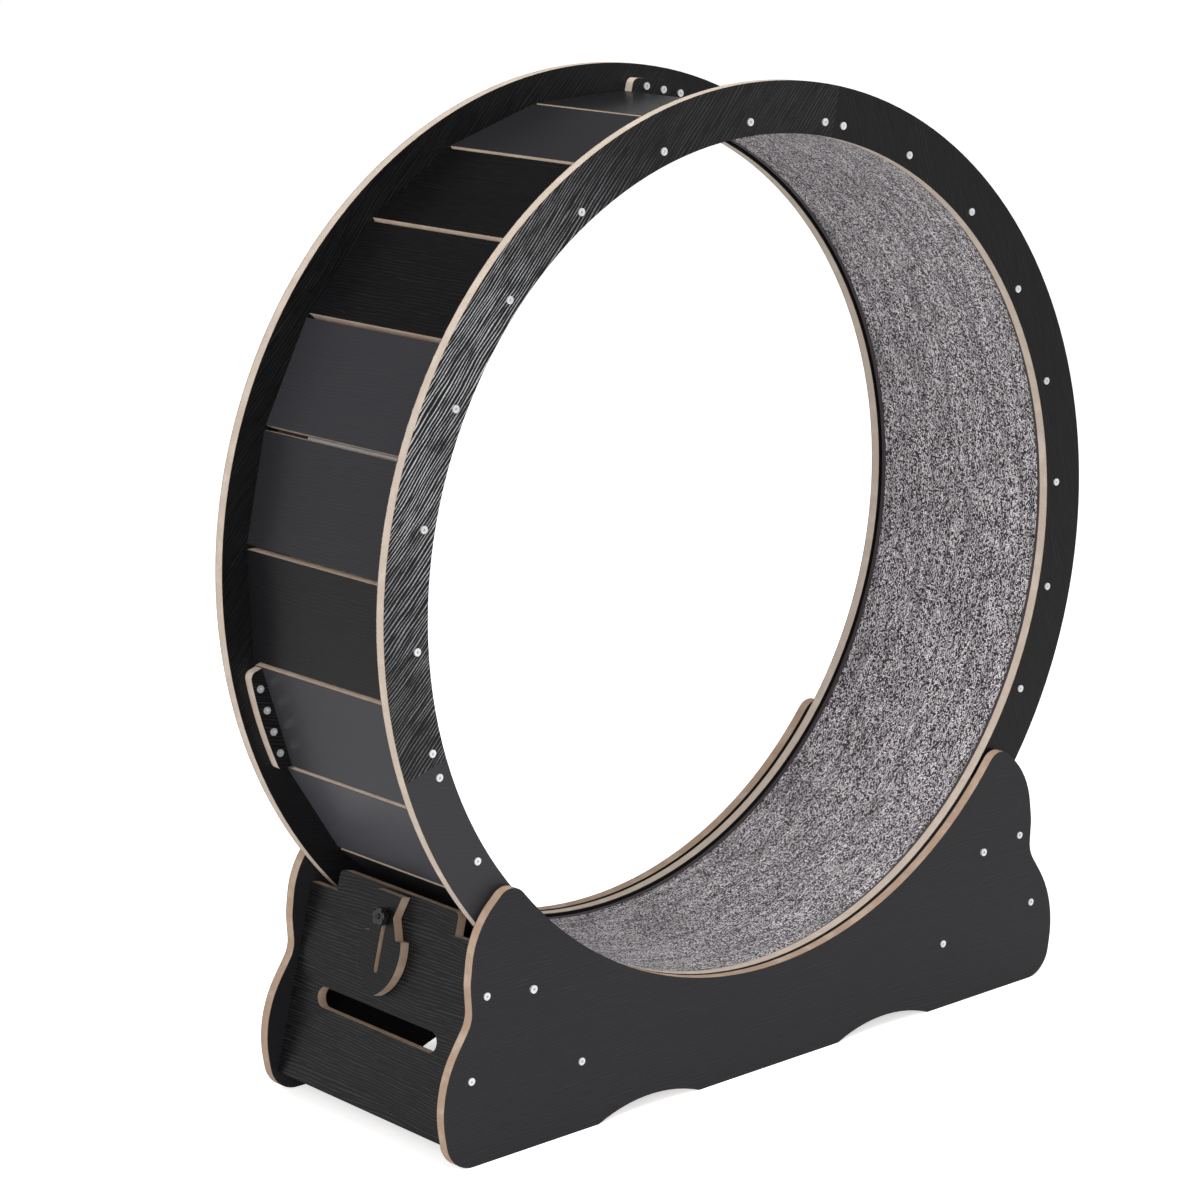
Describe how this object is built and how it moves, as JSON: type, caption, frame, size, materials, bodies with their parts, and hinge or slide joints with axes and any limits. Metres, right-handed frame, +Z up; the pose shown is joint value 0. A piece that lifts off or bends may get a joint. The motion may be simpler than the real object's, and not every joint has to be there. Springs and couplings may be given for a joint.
{
  "type": "cat exercise wheel",
  "caption": "Free-standing running wheel for a cat: a carpeted drum of flat boards between two rings, on grooved rollers in a low board cradle with hand slots and a sliding lock.",
  "frame": {"origin": "centre of the footprint, on the floor", "axes": "+Z up; +Y along the wheel's axle to the rear; +X along the cradle, away from the end with the lock"},
  "size_m": [0.9999, 0.3144, 1.06],
  "materials": {
    "board": "black wood-grain melamine on fibreboard, satin, with bare tan edges",
    "carpet": "speckled grey loop pile",
    "fastener": "bright zinc",
    "tyre": "moulded, matte",
    "bearing": "ground steel",
    "knob": "moulded, glossy"
  },
  "bodies": {
    "wheel": {"ring_front_a": "board", "ring_front_b": "board", "ring_front_c": "board", "ring_rear_a": "board", "ring_rear_b": "board", "ring_rear_c": "board", "slat_01": "board", "slat_02": "board", "slat_03": "board", "slat_04": "board", "slat_05": "board", "slat_06": "board", "slat_07": "board", "slat_08": "board", "slat_09": "board", "slat_10": "board", "slat_11": "board", "slat_12": "board", "slat_13": "board", "slat_14": "board", "slat_15": "board", "slat_16": "board", "slat_17": "board", "slat_18": "board", "slat_19": "board", "slat_20": "board", "slat_21": "board", "slat_22": "board", "slat_23": "board", "slat_24": "board", "splice_front_a": "board", "splice_front_b": "board", "splice_front_c": "board", "splice_rear_a": "board", "splice_rear_b": "board", "splice_rear_c": "board", "carpet": "carpet", "ring_screws": "fastener", "splice_screws": "fastener"},
    "base": {"side_panel_front": "board", "side_panel_rear": "board", "end_panel_left": "board", "end_panel_right": "board", "cross_beam_left": "board", "cross_beam_right": "board", "cradle_screws": "fastener", "axle_bolts": "fastener", "axle_sleeves": "bearing", "axle_nuts": "fastener", "lock_bolt": "fastener"},
    "roller_fl": {"roller_front_left": "tyre", "bearing_front_left": "bearing"},
    "roller_fr": {"roller_front_right": "tyre", "bearing_front_right": "bearing"},
    "roller_rl": {"roller_rear_left": "tyre", "bearing_rear_left": "bearing"},
    "roller_rr": {"roller_rear_right": "tyre", "bearing_rear_right": "bearing"},
    "lock": {"lock_plate": "board"},
    "knob": {"lock_knob": "knob"}
  },
  "joints": [
    {"name": "wheel_spin", "type": "hinge", "parent": "base", "child": "wheel", "pos_m": [0, 0, 0.56], "axis": [0, 1, 0], "continuous": true},
    {"name": "roller_fl_spin", "type": "hinge", "parent": "base", "child": "roller_fl", "pos_m": [-0.33278, -0.133, 0.17037], "axis": [0, 1, 0], "continuous": true},
    {"name": "roller_fr_spin", "type": "hinge", "parent": "base", "child": "roller_fr", "pos_m": [0.33278, -0.133, 0.17037], "axis": [0, 1, 0], "continuous": true},
    {"name": "roller_rl_spin", "type": "hinge", "parent": "base", "child": "roller_rl", "pos_m": [-0.33278, 0.133, 0.17037], "axis": [0, 1, 0], "continuous": true},
    {"name": "roller_rr_spin", "type": "hinge", "parent": "base", "child": "roller_rr", "pos_m": [0.33278, 0.133, 0.17037], "axis": [0, 1, 0], "continuous": true},
    {"name": "lock_slide", "type": "slide", "parent": "base", "child": "lock", "axis": [0.2458, 0, 0.9693], "range_m": [0, 0.034]},
    {"name": "knob_turn", "type": "hinge", "parent": "base", "child": "knob", "pos_m": [-0.40049, 0, 0.22426], "axis": [-0.9693, 0, 0.2458], "range_deg": [0, 360]}
  ],
  "couplings": [
    {"joint": "roller_fl_spin", "follows": "wheel_spin", "ratio": -40.65},
    {"joint": "roller_fr_spin", "follows": "wheel_spin", "ratio": -40.65},
    {"joint": "roller_rl_spin", "follows": "wheel_spin", "ratio": -40.65},
    {"joint": "roller_rr_spin", "follows": "wheel_spin", "ratio": -40.65}
  ]
}
